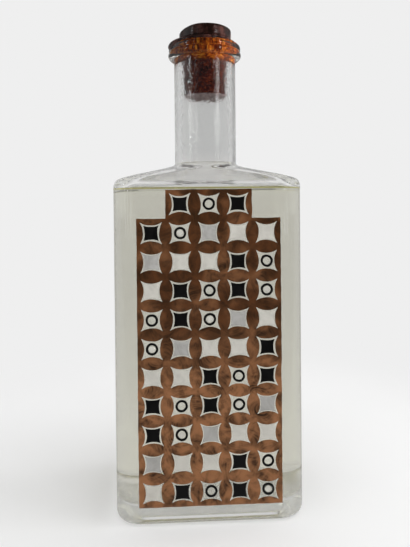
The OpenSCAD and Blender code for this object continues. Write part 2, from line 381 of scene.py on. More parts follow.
@dataclass(frozen=True)
class CorkPaintedLightAndShade(Finish):
    """Pressed cork granules in orange and tan, set bright as painted light, with a painted shade below the
    grip that turns them dark brown.
    """

    grip_z: float
    foot_z: float
    gap: Colour = (0.020, 0.006, 0.002)
    # chip colours: the cork's own orange and tan, raised in part as painted light where the lip lets light in
    chips: tuple[tuple[float, Colour], ...] = (
        (0.12, (0.06, 0.007, 0.001)), (0.38, (0.24, 0.033, 0.002)),
        (0.66, (0.58, 0.13, 0.006)), (0.95, (0.85, 0.36, 0.035)))
    # painted shade: multiplies the cork's colour below the grip, where the neck leaves it in shadow
    painted_shade: Colour = (0.19, 0.075, 0.055)
    dust: Colour = (0.32, 0.25, 0.245)
    fuzz: Colour = (0.90, 0.55, 0.40)
    chip_scale: float = 1400.0
    crumb_scale: float = 3200.0
    crumb_share: float = 0.4
    bend: float = 0.5 * MM
    tone_scale: float = 170.0
    tone_swing: float = 0.22
    # heights from the grip over which the painted shade fades out going up
    painted_shade_start: Pair = (-0.4 * MM, 2.4 * MM)
    dust_end: Pair = (0.35 * MM, 0.9 * MM)
    dust_tones: Pair = (0.35, 1.75)
    relief: float = 0.12 * MM

    def material(self) -> Material:
        """Builds the material: two sizes of cells, each chip in its own tone."""
        material, s, shader = self.begin("cork_painted_light_and_shade", Roughness=0.6, IOR=1.4, Specular_IOR_Level=0.12)
        s.feed(shader, Sheen_Weight=0.12, Sheen_Roughness=0.4, Sheen_Tint=(*self.fuzz, 1.0))
        where = s.here()
        bend = s.node("ShaderNodeTexNoise", Vector=where, Scale=self.chip_scale)
        bend = s.vector("MULTIPLY", bend.outputs["Color"], (self.bend, self.bend, self.bend))
        bent = s.vector("ADD", where, bend)
        cells, crumbs = [s.node("ShaderNodeTexVoronoi", Vector=bent, Scale=scale)
                         for scale in (self.chip_scale, self.crumb_scale)]
        rims = s.get("ShaderNodeTexVoronoi", Vector=bent, Scale=self.chip_scale, feature="DISTANCE_TO_EDGE")
        tone = s.get("ShaderNodeSeparateColor", cells.outputs["Color"])
        small = s.get("ShaderNodeSeparateColor", crumbs.outputs["Color"])
        broad = s.span(s.noise(where, self.tone_scale, 2.0), 0.3, 0.7, -self.tone_swing, self.tone_swing)
        pick = s.plus(s.times(tone, 1.0 - self.crumb_share), s.times(small, self.crumb_share))
        ramp = s.node("ShaderNodeValToRGB", s.plus(pick, broad))
        stops = ramp.color_ramp.elements
        stops[0].position, stops[1].position = self.chips[0][0], self.chips[-1][0]
        for place, _ in self.chips[1:-1]:
            stops.new(place)
        for stop, (_, colour) in zip(stops, self.chips):
            stop.color = (*colour, 1.0)
        inside = s.span(rims, 0.0, 0.10)
        colour = s.mix(inside, self.gap, ramp.outputs["Color"])
        high = s.axes(where)["Z"]
        # painted shade: the cork turns dark brown below the grip
        free = s.span(high, *(self.grip_z + way for way in self.painted_shade_start))
        colour = s.mix(1.0, colour, s.mix(free, self.painted_shade, (1.0, 1.0, 1.0)), "MULTIPLY")
        dusty = s.mix(tone, *(scaled(self.dust, by) for by in self.dust_tones))
        foot = s.span(high, *(self.foot_z + way for way in self.dust_end), 1.0, 0.0)
        s.feed(shader, Base_Color=s.mix(foot, colour, dusty))
        self.bump(s, shader, s.plus(inside, s.times(small, self.crumb_share)), self.relief)
        return material


@dataclass(frozen=True)
class SealingWax(Finish):
    """Glossy dark brown wax with a reddish bloom where it is thin."""

    deep: Colour = (0.008, 0.003, 0.002)
    thin: Colour = (0.058, 0.020, 0.015)
    bloom_scale: float = 160.0
    glossy: Pair = (0.16, 0.34)
    underside: Pair = (-0.4, -0.1)
    relief: float = 0.5 * MM

    def material(self, ripple: Group) -> Material:
        """Builds the material from the shared ripple."""
        material, s, shader = self.begin("sealing_wax", IOR=1.45)
        where = s.here()
        bloom = s.span(s.noise(where, self.bloom_scale, 4.0, 0.6), 0.4, 0.7)
        outward = s.vector("NORMALIZE", s.vector("MULTIPLY", where, (1.0, 1.0, 0.0)))
        outward = s.vector("ADD", outward, (0.0, 0.0, 1.0))
        normal = s.node("ShaderNodeNewGeometry").outputs["Normal"]
        facing = s.node("ShaderNodeVectorMath", normal, outward, operation="DOT_PRODUCT").outputs["Value"]
        rough = s.blend(s.span(facing, *self.underside), 1.0, s.span(bloom, 0.0, 1.0, *self.glossy))
        s.feed(shader, Base_Color=s.mix(bloom, self.deep, self.thin), Roughness=rough)
        height = ripple.place(s, Broad_Scale=130.0, Fine_Scale=800.0, Fine_Share=0.12).outputs["Height"]
        self.bump(s, shader, height, self.relief)
        return material


@dataclass(frozen=True)
class Enamel(Finish):
    """Fired enamel laid on with a brush."""

    name: str
    dark: Colour
    light: Colour
    foot: Colour
    roughness: float = 0.45
    uneven: float = 0.1
    blotch: float = 0.45
    blotch_scale: float = 62.0
    blotch_span: Pair = (0.48, 0.66)
    relief: float = 0.05 * MM
    low_z: float = 0.056
    high_z: float = 0.092

    def material(self, brushwork: Group) -> Material:
        """Builds the material: strokes over a tone that turns warmer towards the foot of the panel."""
        material, s, shader = self.begin(self.name, IOR=1.5, Specular_IOR_Level=0.16)
        strokes = brushwork.place(s, Patch_Scale=150.0, Streak_Scale=650.0, Streak_Length=0.22).outputs
        where = s.here()
        warm = s.mix(s.span(s.axes(where)["Z"], self.low_z, self.high_z), self.foot, self.light)
        ember = s.span(s.noise(where, self.blotch_scale, 2.0, 0.6), *self.blotch_span, 0.0, self.blotch)
        warm = s.mix(ember, warm, self.foot)
        colour = s.mix(strokes["Patches"], self.dark, warm)
        colour = s.mix(s.span(strokes["Streaks"], 0.0, 1.0, 0.0, self.blotch), colour, warm)
        low, high = self.roughness - self.uneven, self.roughness + self.uneven
        s.feed(shader, Base_Color=colour, Roughness=s.span(strokes["Patches"], 0.0, 1.0, low, high))
        self.bump(s, shader, strokes["Height"], self.relief)
        return material


class Ripples:
    """Smooth unevenness made of plane waves in fixed directions."""

    def __init__(self, length: float, seed: int, count: int = 14) -> None:
        """Draws the waves.

        Args:
            length: usual length of a wave, in metres.
            seed: seed of the draw.
            count: how many waves are added up.
        """
        draw = np.random.default_rng(seed)
        ways = draw.normal(size=(count, 3))
        ways /= np.linalg.norm(ways, axis=1, keepdims=True)
        self.ways = ways * (math.tau / (length * draw.uniform(0.7, 1.6, size=(count, 1))))
        self.starts = draw.uniform(0.0, math.tau, count)

    def at(self, points: np.ndarray) -> np.ndarray:
        """Returns the unevenness at points, from -1 to 1."""
        waves = np.sin(points @ self.ways.T + self.starts)
        return np.clip(waves.mean(axis=-1) * math.sqrt(len(self.starts) / 2), -1.0, 1.0)

    def raised(self, points: np.ndarray) -> np.ndarray:
        """Returns the unevenness at points, from 0 to 1."""
        return 0.5 + 0.5 * self.at(points)


@dataclass(frozen=True)
class Station:
    """One level of a lofted shape: a rounded rectangle in plan, at a height."""

    half_x: float
    half_y: float
    corner: float
    z: float

    def grown(self, by: float, lift: float = 0.0) -> "Station":
        """Returns the station grown outwards, and lifted."""
        return Station(self.half_x + by, self.half_y + by, max(self.corner + by, 0.0), self.z + lift)

    def reach(self, ways: np.ndarray) -> np.ndarray:
        """Returns how far the outline lies from the axis in each direction."""
        across, along = np.abs(ways[:, 0]), np.abs(ways[:, 1])
        corner = min(self.corner, self.half_x, self.half_y)
        mid_x, mid_y = self.half_x - corner, self.half_y - corner
        inward = across * mid_x + along * mid_y
        root = np.maximum(inward**2 - mid_x**2 - mid_y**2 + corner**2, 0.0)
        side = self.half_x / np.maximum(across, 1e-9)
        face = self.half_y / np.maximum(along, 1e-9)
        rounded = inward + np.sqrt(root)
        return np.where(side * along <= mid_y, side, np.where(face * across <= mid_x, face, rounded))


def discs(points: list[Pair]) -> list[Station]:
    """Returns round stations from points of a side view, each a radius and a height."""
    return [Station(radius, radius, radius, z) for radius, z in points]


def arc(middle: Pair, radius: float, start: float, end: float, steps: int) -> list[Pair]:
    """Returns points along an arc in a side view, from one angle to another, in degrees."""
    turns = np.radians(np.linspace(start, end, steps + 1))
    return [(middle[0] + radius * math.cos(a), middle[1] + radius * math.sin(a)) for a in turns]


def directions(turns: np.ndarray) -> np.ndarray:
    """Returns the directions in plan of turns round the axis."""
    return np.stack([np.cos(turns), np.sin(turns)], axis=1)


def held(share: Shares) -> Shares:
    """Returns a share held between 0 and 1."""
    return np.clip(share, 0.0, 1.0)


def smooth(share: Shares) -> Shares:
    """Returns a share held between 0 and 1, with eased ends."""
    share = held(share)
    return share * share * (3.0 - 2.0 * share)


class Loft:
    """Draws closed skins through stations, from a pole at the start to a pole at the end."""

    def __init__(self, half_x: float, half_y: float, corner: float, count: int = 288,
                 corner_share: float = 1.8) -> None:
        """Spreads directions evenly along a rounded rectangle, closer together round its corners.

        Args:
            half_x: half the width of the outline.
            half_y: half its depth.
            corner: radius of its corners.
            count: how many directions there are.
            corner_share: how many times closer they lie at a corner.
        """
        flat_x, flat_y = half_x - corner, half_y - corner
        fine = 200
        steps = np.linspace(0.0, 1.0, fine, endpoint=False)
        turn = steps * math.pi / 2
        round_x, round_y = flat_x + corner * np.cos(turn), flat_y + corner * np.sin(turn)
        quarter_x = np.concatenate([np.full(fine, half_x), round_x, flat_x * (1 - steps)])
        quarter_y = np.concatenate([flat_y * steps, round_y, np.full(fine, half_y)])
        weight = np.repeat([1.0, corner_share, 1.0], fine)
        length = np.hypot(np.diff(quarter_x, append=0.0), np.diff(quarter_y, append=half_y)) * weight
        run = np.concatenate([[0.0], np.cumsum(length)])
        angle = np.append(np.arctan2(quarter_y, quarter_x), math.pi / 2)
        quarter = np.interp(np.linspace(0.0, run[-1], count // 4 + 1), run, angle)
        half = np.concatenate([quarter[:-1], math.pi - quarter[:0:-1]])
        angles = np.concatenate([half, half + math.pi])
        self.ways = directions(angles)

    def points(self, stations: list[Station]) -> np.ndarray:
        """Returns the rings of points of the stations."""
        rings = [np.column_stack([self.ways * s.reach(self.ways)[:, None], np.full(len(self.ways), s.z)])
                 for s in stations]
        return np.array(rings)

    def push(self, points: np.ndarray, by: np.ndarray) -> np.ndarray:
        """Returns the points moved away from the axis by a distance of their own."""
        moved = points.copy()
        moved[..., :2] += self.ways[None] * by[..., None]
        return moved


def skin(name: str, points: np.ndarray) -> Piece:
    """Makes a closed mesh of rings of points, with a pole at either end.

    Args:
        name: name of the piece.
        points: the rings, each anticlockwise from above, running up the outside.

    Returns:
        The new object, with smooth shading.
    """
    rings, count, _ = points.shape
    poles = np.stack([points[0].mean(axis=0), points[-1].mean(axis=0)])
    here = np.arange(count)
    there = (here + 1) % count
    low = (np.arange(rings - 1) * count)[:, None]
    high = low + count
    quads = np.stack([low + here, low + there, high + there, high + here], axis=2).reshape(-1, 4)
    last = (rings - 1) * count
    start_pole, end_pole = rings * count, rings * count + 1
    fans = [(start_pole, int(b), int(a)) for a, b in zip(here, there)]
    fans += [(end_pole, last + int(a), last + int(b)) for a, b in zip(here, there)]
    piece = drawn(name, np.vstack([points.reshape(-1, 3), poles]).tolist(), quads.tolist() + fans)
    piece.data.validate()
    piece.data.shade_smooth()
    return piece


def settle(piece: Piece, material: Material | None, body: str, node: str) -> None:
    """Dresses a finished piece and sets it in the frame.

    Args:
        piece: the finished piece.
        material: its material, or None if it has it already.
        body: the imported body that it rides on.
        node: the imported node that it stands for.
    """
    if material is not None:
        piece.data.materials.clear()
        piece.data.materials.append(material)
    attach(piece, body)
    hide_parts(node)
    LOG.info("%s: %d faces, rides on %s", piece.name, len(piece.data.polygons), body)


@dataclass
class Shoulder:
    """The low hipped roof between walls and neck, outside or inside."""

    half_x: float
    half_y: float
    corner: float
    wall_top: float
    edge: float
    rise: float
    neck: float
    hip: float
    blend: float = 0.8 * MM
    bulge: float = 1.2 * MM
    ease: float = 0.22

    def touch(self, half: float) -> Pair:
        """Returns where the slope leaves the rounded edge, as half size and height."""
        reach = self.neck + self.edge - half
        turn = math.atan2(self.rise, reach) - math.acos(self.edge / math.hypot(reach, self.rise))
        return half - self.edge + self.edge * math.cos(turn), self.wall_top + self.edge * math.sin(turn)

    def half_at(self, half: float, z: float) -> float:
        """Returns the half size of the roof at a height."""
        if z <= self.wall_top:
            return half
        touch_half, touch_z = self.touch(half)
        if z <= touch_z:
            return half - self.edge + math.sqrt(self.edge**2 - (z - self.wall_top) ** 2)
        share = (z - touch_z) / (self.wall_top + self.rise - touch_z)
        slope = touch_half + (self.neck - touch_half) * share
        slope += self.bulge * (touch_half - self.neck) / self.half_x * 4 * share * max(1 - share, 0.0)
        blend = self.blend * min(share, 1.0) * (1.0 - smooth((share - 1.0) / self.ease))
        return (slope + self.neck) / 2 + math.hypot((slope - self.neck) / 2, blend)

    def station(self, z: float) -> Station:
        """Returns the level of the roof at a height."""
        half_x, half_y = self.half_at(self.half_x, z), self.half_at(self.half_y, z)
        share = (z - self.wall_top) / self.rise
        hip = self.corner + (self.hip - self.corner) * smooth(share / 0.5)
        full = min(half_x, half_y)
        return Station(half_x, half_y, hip + (full - hip) * smooth((share - 0.5) / 0.5), z)

    def stations(self, steps: int = 22) -> list[Station]:
        """Returns the levels from the wall top to just above the root of the neck."""
        full = self.rise * (1.0 + self.ease)
        return [self.station(self.wall_top + full * share) for share in np.linspace(0.0, 1.0, steps + 1)]


@dataclass
class BottleGlass:
    """The moulded bottle: body, base, shoulder, neck and lip in one closed skin."""

    loft: Loft
    wall_top: float = 145.4 * MM
    corner: float = 11.5 * MM
    heel: float = 3.2 * MM
    edge: float = 5.0 * MM
    rise: float = 11.1 * MM
    wall: float = 3.0 * MM
    shoulder_wall: float = 1.8 * MM
    base: float = 6.5 * MM
    crown: float = 1.5 * MM
    inner_heel: float = 5.0 * MM
    foot_ring: float = 9.0 * MM
    recess: float = 1.2 * MM
    neck: float = 14.65 * MM
    neck_bore: float = 11.4 * MM
    mouth: float = 10.7 * MM
    mouth_len: float = 8.9 * MM
    mouth_soft: float = 0.5 * MM
    lip: float = 17.15 * MM
    lip_h: float = 6.7 * MM
    lip_edge: float = 1.6 * MM
    bead: float = 2.0 * MM
    bead_out: float = 0.3 * MM
    hip: float = 5.0 * MM
    inner_hip: float = 4.0 * MM
    neck_share: float = 1.3
    fine: float = 0.04 * MM
    wave: float = 0.035 * MM
    neck_wave: float = 0.4
    beaten: float = 0.015 * MM
    half_x: float = field(init=False)
    half_y: float = field(init=False)
    top: float = field(init=False)

    def __post_init__(self) -> None:
        """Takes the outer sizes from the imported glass."""
        self.half_x, self.half_y, self.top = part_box("glass_bottle")[1]
        self.outer_ripples = Ripples(16 * MM, seed=11)
        self.inner_ripples = Ripples(13 * MM, seed=23)
        self.hammer = Ripples(3.2 * MM, seed=31)

    def outline(self, inset: float = 0.0, z: float = 0.0) -> Station:
        """Returns the outline of the body at a height, moved inwards."""
        return Station(self.half_x - inset, self.half_y - inset, self.corner - inset, z)

    def underside(self) -> list[Station]:
        """Returns the sunk panel, the ring that the bottle stands on and the heel."""
        ring = self.foot_ring
        panel = Station(self.half_x - ring, self.half_y - ring, self.corner / 2, self.recess)
        shares = (0.96, 0.8, 0.6, 0.4, 0.2, 0.08)
        levels = [panel.grown(-panel.half_y * share, 0.3 * MM * share) for share in shares]
        levels += [panel.grown(-0.4 * MM), panel.grown(0.0, -0.15 * MM)]
        levels += [panel.grown(0.3 * MM, -0.8 * self.recess), panel.grown(0.8 * MM, -self.recess)]
        levels += [self.outline().grown(-self.heel - inset) for inset in (2 * MM, 0.6 * MM)]
        rounded = arc((-self.heel, self.heel), self.heel, -90.0, 0.0, 10)
        return levels + [self.outline().grown(by, z) for by, z in rounded]

    def outer_wall(self) -> list[Station]:
        """Returns the upright walls outside."""
        return [self.outline(z=z) for z in np.linspace(self.heel, self.wall_top, 36)[1:-1]]

    def shoulder(self, inset: float, drop: float, neck: float, hip: float) -> list[Station]:
        """Returns the levels of the roof.

        Args:
            inset: how far its walls stand inside the outer ones.
            drop: how far its top lies below the outer one.
            neck: radius of the neck that it meets.
            hip: radius of its hips halfway up.
        """
        roof = Shoulder(self.half_x - inset, self.half_y - inset, self.corner - inset, self.wall_top,
                        self.edge - inset, self.rise - drop, neck, hip)
        return roof.stations()

    def neck_and_lip(self) -> list[Station]:
        """Returns the neck outside, the bead, the lip's band and its rounded edge."""
        lip_z, edge_z = self.top - self.lip_h, self.top - self.lip_edge
        foot_z = self.wall_top + self.neck_share * self.rise
        side = [(self.neck, z) for z in np.linspace(foot_z, lip_z - 1.4 * MM, 20)]
        side += [(self.neck + 0.03 * MM, lip_z - 0.7 * MM), (self.neck + 0.16 * MM, lip_z - 0.15 * MM)]
        bead_mid = (self.lip + self.bead_out - self.bead, lip_z + self.bead)
        side += arc(bead_mid, self.bead, -104.0, 44.0, 14)
        groove_z = bead_mid[1] + self.bead * 0.86
        side += [(self.lip - 0.1 * MM, groove_z), (self.lip, groove_z + 0.35 * MM)]
        return discs(side + arc((self.lip - self.lip_edge, edge_z), self.lip_edge, 0.0, 90.0, 8))

    def mouth_and_bore(self) -> list[Station]:
        """Returns the mouth's inner edge, the gripping bore and the bore of the neck, going down."""
        mouth, bore, soft, fine = self.mouth, self.neck_bore, self.mouth_soft, self.fine
        grip_z = self.top - self.mouth_len
        foot_z = self.wall_top + self.neck_share * self.rise
        side = [(self.lip - self.lip_edge - 1.5 * MM, self.top)]
        side += arc((mouth + soft, self.top - soft), soft, 90.0, 180.0, 4)
        side += [(mouth, z) for z in np.linspace(self.top - 1.5 * MM, grip_z, 6)]
        side += [(mouth + fine, grip_z - fine), (mouth + 3 * fine, grip_z - 1.5 * fine)]
        side += [(bore - 2 * fine, grip_z - 2.5 * fine), (bore, grip_z - 4 * fine)]
        return discs(side + [(bore, z) for z in np.linspace(grip_z - 8 * fine, foot_z, 32)])

    def inner_floor(self, shrink: float = 0.0) -> list[Station]:
        """Returns the inner heel and the crowned floor, going inwards.

        Args:
            shrink: how far the surface is moved into the glass.
        """
        flat = self.outline(self.wall, self.base)
        rounded = arc((-self.inner_heel, self.inner_heel), self.inner_heel, 0.0, -90.0, 10)
        levels = [flat.grown(by + shrink, z - shrink) for by, z in rounded]
        edge, floor_z = flat.grown(-self.inner_heel), self.base - shrink
        for s in (0.9, 0.75, 0.55, 0.35, 0.15, 0.04):
            z = floor_z + self.crown * (1 - s * s)
            levels.append(Station(edge.half_x * s, edge.half_y * s, edge.corner * s, z))
        return levels

    def inner_wall(self, grow: float = 0.0) -> list[Station]:
        """Returns the walls inside, going down.

        Args:
            grow: how far the surface is moved into the glass.
        """
        heights = np.linspace(self.wall_top, self.base + self.inner_heel, 36)[1:-1]
        return [self.outline(self.wall).grown(grow, z) for z in heights]

    def waved(self, points: np.ndarray) -> np.ndarray:
        """Returns inner points moved into the glass as the mould left them."""
        high = points[..., 2]
        free_z = self.top - self.mouth_len - 2 * MM
        neck, grip = held((high - self.wall_top - self.rise) / (6 * MM)), held((free_z - high) / (3 * MM))
        soft = np.where(high > free_z, 0.0, self.wave * self.inner_ripples.raised(points))
        return self.loft.push(points, soft + self.beaten * self.hammer.at(points) * neck * grip)

    def build(self) -> Piece:
        """Builds the closed skin of the glass and returns it."""
        roof_out = self.shoulder(0.0, 0.0, self.neck, self.hip)
        roof_in = self.shoulder(self.wall, self.shoulder_wall, self.neck_bore, self.inner_hip)
        outside = self.underside() + self.outer_wall() + roof_out + self.neck_and_lip()
        inside = self.mouth_and_bore() + roof_in[::-1] + self.inner_wall() + self.inner_floor()
        outer = self.loft.points(outside)
        wave = -self.wave * self.outer_ripples.raised(outer)
        wave *= np.where(outer[..., 2] < self.wall_top, 1.0, self.neck_wave)
        inner = self.waved(self.loft.points(inside))
        return skin("bottle_glass", np.concatenate([self.loft.push(outer, wave), inner]))


@dataclass
class SpiritFill:
    """The spirit, which wets the glass: its skin reaches a little into it, and its level climbs the wall."""

    glass: BottleGlass
    wet: float = 0.08 * MM
    climb: float = 0.7 * MM
    climb_width: float = 0.9 * MM
    level: float = field(init=False)

    def __post_init__(self) -> None:
        """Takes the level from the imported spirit."""
        self.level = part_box("spirit")[1].z

    def build(self) -> Piece:
        """Builds the closed skin of the spirit and returns it."""
        glass = self.glass
        walls = glass.inner_floor(self.wet)[::-1] + glass.inner_wall(self.wet)[::-1]
        walls = [s for s in walls if s.z < self.level - 1 * MM]
        rim = glass.outline(glass.wall)
        top = [rim.grown(self.wet, self.level), rim.grown(self.wet, self.level + self.climb)]
        for inset in (0.0, 0.15, 0.4, 0.8, 1.3, 2.0, 3.0, 5.0, 9.0, 14.0, 19.0, 22.0):
            lift = self.climb * math.exp(-inset * MM / self.climb_width)
            top.append(rim.grown(-inset * MM, self.level + lift))
        return skin("spirit_fill", glass.waved(glass.loft.points(walls + top)))


@dataclass
class CorkStopper:
    """The stopper of pressed granules: tight in the mouth, rough and tapered below."""

    glass: BottleGlass
    squeeze: float = 0.05 * MM
    tip: float = 9.9 * MM
    step: float = 0.15 * MM
    chamfer: float = 0.6 * MM
    roughness: float = 0.28 * MM
    chips: int = 900
    chip: float = 0.3 * MM
    around: int = 200
    grip_z: float = field(init=False)

    def __post_init__(self) -> None:
        """Works out where the cork comes free of the mouth."""
        self.grip_z = self.glass.top - self.glass.mouth_len

    def rings(self) -> np.ndarray:
        """Returns the rings of the cork, from the middle of its foot to the middle of its top."""
        low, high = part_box("cork_stopper")
        grip_z, grip, edge = self.grip_z, self.glass.mouth + self.squeeze, self.tip - self.chamfer
        shank = self.glass.mouth - self.step - 0.05 * MM
        side = [(r, low.z) for r in np.linspace(0.02 * self.tip, edge, 12)]
        side += arc((edge, low.z + self.chamfer), self.chamfer, -60.0, 0.0, 3)
        heights = np.linspace(low.z + 1.0 * MM, grip_z - 0.7 * MM, 34)
        span = heights[-1] - heights[0]
        side += [(self.tip + (shank - self.tip) * (z - heights[0]) / span, z) for z in heights]
        side += [(grip, z) for z in np.linspace(grip_z, self.glass.top - 0.6 * MM, 20)]
        side += [(grip - 0.1 * MM, high.z - 0.1 * MM)]
        side += [(r, high.z) for r in np.linspace(grip - 0.3 * MM, 0.02 * grip, 6)]
        turns = np.linspace(0.0, math.tau, self.around, endpoint=False)
        rings = np.array([[(r * math.cos(a), r * math.sin(a), z) for a in turns] for r, z in side])
        broad, fine = Ripples(2.6 * MM, seed=5), Ripples(0.9 * MM, seed=6, count=24)
        rough = self.roughness * (0.5 * broad.at(rings) + 0.5 * fine.at(rings) - 0.3)
        free = held((grip_z - rings[..., 2]) / (1.2 * MM))
        rings[..., :2] += directions(turns)[None] * (rough * free)[..., None]
        foot = held(1.0 - (rings[..., 2] - low.z) / (1.0 * MM))
        torn = 0.3 + broad.at(rings * 1.7) * 0.3 + 0.9 * np.abs(fine.at(rings * 1.6))
        rings[..., 2] += foot * self.roughness * torn
        return rings

    def chip_tree(self, material: Material) -> Tree:
        """Builds the tree that scatters cork chips over the free part of the stopper."""
        s, use = growth("CorkChips", ("Density", "Chip Size", "Grip Height"))
        high = s.axes(s.get("GeometryNodeInputPosition"))["Z"]
        free = s.get("FunctionNodeCompare", high, use["Grip Height"], data_type="FLOAT",
                     operation="LESS_THAN")
        spread = s.node("GeometryNodeDistributePointsOnFaces", Mesh=use["Geometry"], Selection=free,
                        Density=use["Density"], Seed=use["Seed"], distribute_method="RANDOM")
        chip = s.get("GeometryNodeMeshIcoSphere", use["Chip Size"], 1)
        size = s.get("FunctionNodeRandomValue", (0.35, 0.35, 0.2), (1.0, 1.0, 0.5), Seed=3,
                     data_type="FLOAT_VECTOR")
        spots = s.get("GeometryNodeInstanceOnPoints", Points=spread.outputs["Points"], Instance=chip,
                      Rotation=spread.outputs["Rotation"], Scale=size)
        whole = s.join(use["Geometry"], s.get("GeometryNodeRealizeInstances", spots))
        done = s.get("GeometryNodeSetMaterial", whole, Material=material)
        s.node("NodeGroupOutput", s.get("GeometryNodeRealizeInstances", done))
        return s.tree

    def build(self, material: Material) -> Piece:
        """Builds the stopper with its chips and returns it."""
        piece = skin("cork_body", self.rings())
        low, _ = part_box("cork_stopper")
        area = math.tau * self.tip * (self.grip_z - low.z) + math.pi * self.tip**2
        return grown_by(piece, self.chip_tree(material), {
            "Density": self.chips / area, "Chip Size": self.chip, "Seed": 7,
            "Grip Height": self.grip_z - 1.5 * MM})


def grown_by(piece: Piece, tree: Tree, values: dict[str, object]) -> Piece:
    """Runs a geometry tree on a piece and keeps the result as a plain mesh.

    Args:
        piece: the piece that the tree starts from.
        tree: the geometry tree.
        values: what goes in the tree's inputs, by name.

    Returns:
        The same piece, with the new mesh and no modifier.
    """
    modifier = piece.modifiers.new(tree.name, "NODES")
    modifier.node_group = tree
    for item in tree.interface.items_tree:
        if item.item_type == "SOCKET" and item.in_out == "INPUT" and item.name in values:
            modifier[item.identifier] = values[item.name]
    graph = bpy.context.evaluated_depsgraph_get()
    mesh = bpy.data.meshes.new_from_object(piece.evaluated_get(graph))
    piece.modifiers.clear()
    piece.data = mesh
    mesh.name = piece.name
    return piece


